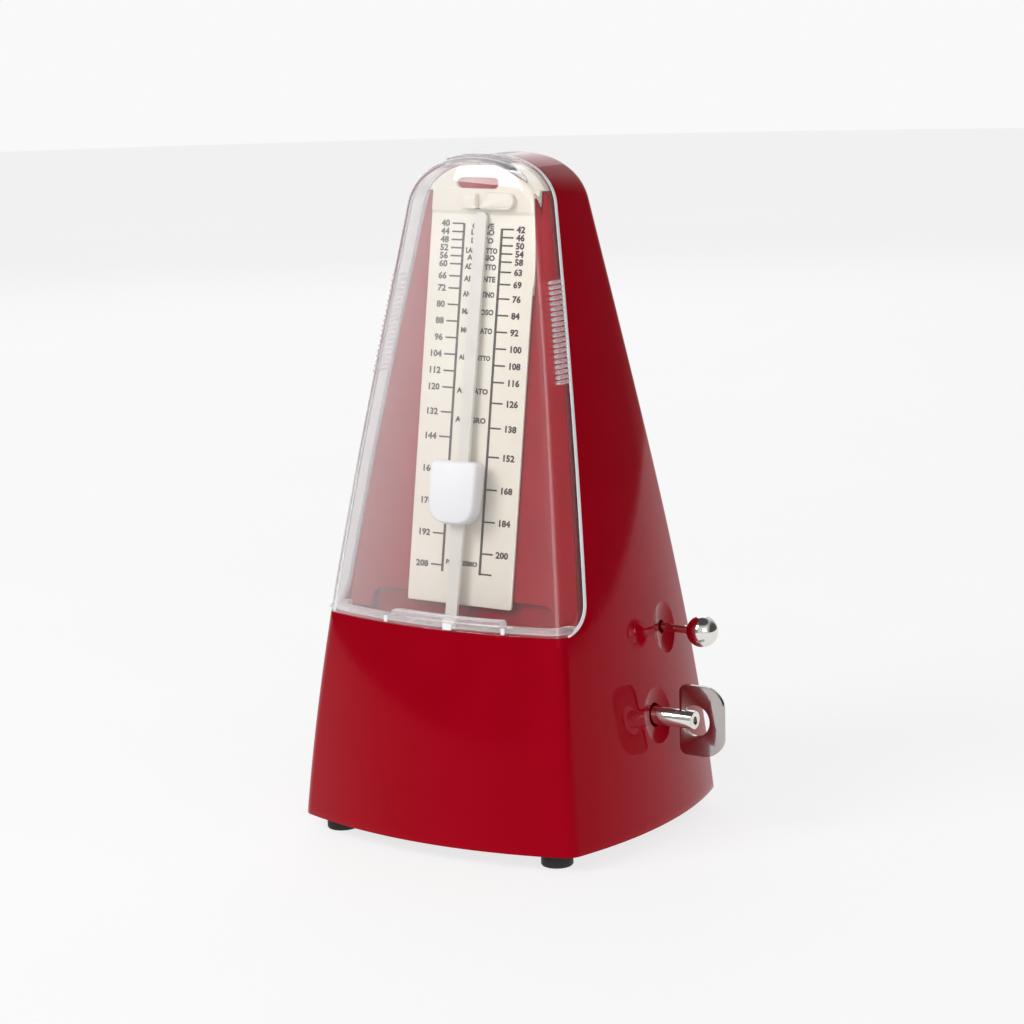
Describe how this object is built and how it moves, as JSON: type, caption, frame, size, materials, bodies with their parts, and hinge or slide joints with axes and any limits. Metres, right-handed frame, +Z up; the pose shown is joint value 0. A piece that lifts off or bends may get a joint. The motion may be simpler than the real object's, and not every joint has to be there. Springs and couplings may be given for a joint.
{
  "type": "mechanical metronome",
  "caption": "Mechanical pyramid metronome with a glossy tapered case, clear front cover, tempo scale, swinging rod with sliding weight, side winding key and bell knob.",
  "frame": {"origin": "middle of the bounding box, on the surface the rubber feet stand on", "axes": "+Z up, -Y towards the front cover, +X towards the winding key"},
  "size_m": [0.14, 0.1126, 0.2243],
  "materials": {
    "red_gloss": "glossy",
    "clear_plastic": "clear and glossy",
    "cream": "satin",
    "white": "satin",
    "black_rubber": "matt",
    "black_plastic": "matt",
    "chrome": "mirror bright",
    "steel": "brushed",
    "spring_steel": "blued",
    "aluminium": "satin",
    "brass": "satin"
  },
  "bodies": {
    "casing": {"casing_shell": "red_gloss", "front_panel": "red_gloss", "scale_plate": "cream", "rod_catch": "cream", "base_plate": "black_plastic", "foot_front_left": "black_rubber", "foot_front_right": "black_rubber", "foot_rear_left": "black_rubber", "foot_rear_right": "black_rubber", "base_screw_front_left": "steel", "base_screw_front_right": "steel", "base_screw_rear_left": "steel", "base_screw_rear_right": "steel", "frame_plate_left": "steel", "frame_plate_right": "steel", "frame_screw_left_front": "steel", "frame_screw_left_rear": "steel", "frame_screw_right_front": "steel", "frame_screw_right_rear": "steel", "pillar_1": "steel", "pillar_2": "steel", "pillar_3": "steel", "pillar_4": "steel", "verge_bracket": "steel", "escape_bridge": "brass", "mainspring": "spring_steel", "bell_dome": "brass", "bell_post": "steel", "bell_nut": "steel", "detent_spring": "spring_steel"},
    "cover": {"clear_cover": "clear_plastic"},
    "winding": {"winding_arbor": "steel", "ratchet_wheel": "steel", "key_stem": "chrome", "key_wing": "chrome"},
    "great_wheel_body": {"great_wheel": "brass", "click_screw": "steel", "click_spring": "spring_steel"},
    "click": {"click_pawl": "steel"},
    "second": {"second_arbor": "steel", "second_wheel": "brass", "count_drum": "brass"},
    "escape": {"escape_wheel": "brass", "escape_arbor": "steel"},
    "pendulum": {"pendulum_rod": "aluminium", "verge_staff": "steel", "rod_collet": "brass", "pendulum_bob": "steel", "bob_screw": "steel"},
    "weight": {"sliding_weight": "white", "weight_clip": "spring_steel"},
    "selector": {"selector_rod": "steel", "selector_knob": "chrome"},
    "hammer": {"hammer_arm": "steel", "hammer_head": "brass"}
  },
  "joints": [
    {"name": "cover_slide", "type": "slide", "parent": "casing", "child": "cover", "axis": [0, -1, 0], "range_m": [0, 0.07]},
    {"name": "winding_turn", "type": "hinge", "parent": "casing", "child": "winding", "pos_m": [0.00996, 0.0038, 0.041], "axis": [1, 0, 0], "continuous": true},
    {"name": "great_wheel_turn", "type": "hinge", "parent": "casing", "child": "great_wheel_body", "pos_m": [0.00996, 0.0038, 0.041], "axis": [1, 0, 0], "continuous": true},
    {"name": "click_swing", "type": "hinge", "parent": "great_wheel_body", "child": "click", "pos_m": [0.00996, 0.01257, 0.0489], "axis": [1, 0, 0], "range_deg": [0, 10], "stiffness_Nm_per_rad": 0.01},
    {"name": "second_turn", "type": "hinge", "parent": "casing", "child": "second", "pos_m": [0.00346, -0.00864, 0.05698], "axis": [1, 0, 0], "continuous": true},
    {"name": "escape_turn", "type": "hinge", "parent": "casing", "child": "escape", "pos_m": [-0.00453, -0.01579, 0.04379], "axis": [1, 0, 0], "continuous": true},
    {"name": "pendulum_swing", "type": "hinge", "parent": "casing", "child": "pendulum", "pos_m": [-0.00973, -0.0385, 0.048], "axis": [0, -0.9833, 0.1821], "range_deg": [-6, 6]},
    {"name": "weight_slide", "type": "slide", "parent": "pendulum", "child": "weight", "axis": [0, 0.1821, 0.9833], "range_m": [-0.0355, 0.0775]},
    {"name": "selector_slide", "type": "slide", "parent": "casing", "child": "selector", "axis": [1, 0, 0], "range_m": [-0.004, 0.004]},
    {"name": "hammer_swing", "type": "hinge", "parent": "selector", "child": "hammer", "pos_m": [-0.04541, 0.0175, 0.0675], "axis": [-1, 0, 0], "range_deg": [0, 8], "stiffness_Nm_per_rad": 0.01}
  ],
  "couplings": [
    {"joint": "second_turn", "follows": "great_wheel_turn", "ratio": -4.4},
    {"joint": "escape_turn", "follows": "great_wheel_turn", "ratio": 17.6}
  ]
}
